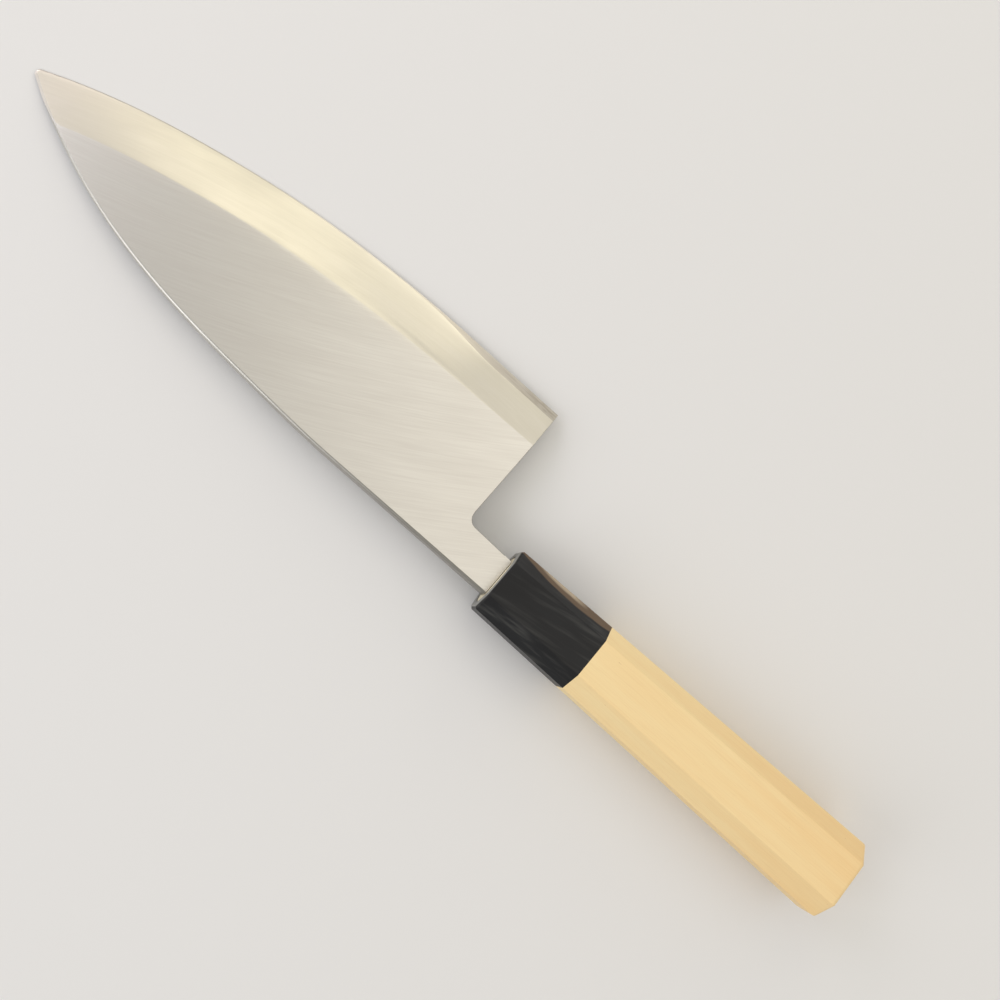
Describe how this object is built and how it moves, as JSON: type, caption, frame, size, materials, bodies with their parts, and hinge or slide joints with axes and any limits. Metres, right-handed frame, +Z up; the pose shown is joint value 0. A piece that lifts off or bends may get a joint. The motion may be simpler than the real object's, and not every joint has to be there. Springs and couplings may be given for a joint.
{
  "type": "deba knife",
  "caption": "Single-bevel deba kitchen knife: laminated steel blade with a hollow-ground back, black horn ferrule and tapered octagonal wooden handle.",
  "frame": {"origin": "middle of the knife's footprint, on the board that the belly of its edge and its ferrule rest on", "axes": "+X along the handle towards the tip, +Y towards the spine, +Z up, out of the bevelled side"},
  "size_m": [0.3312, 0.063, 0.0242],
  "materials": {
    "soft_steel": "satin, ground with fine slanting scratches",
    "hard_steel": "whetted satin on the bevel, ground on the back",
    "horn": "black buffalo horn, sanded and lightly polished",
    "wood": "bare fine-sanded magnolia wood"
  },
  "bodies": {
    "root": {"blade_cladding": "soft_steel", "cutting_steel": "hard_steel", "ferrule": "horn", "handle_body": "wood"}
  },
  "joints": []
}
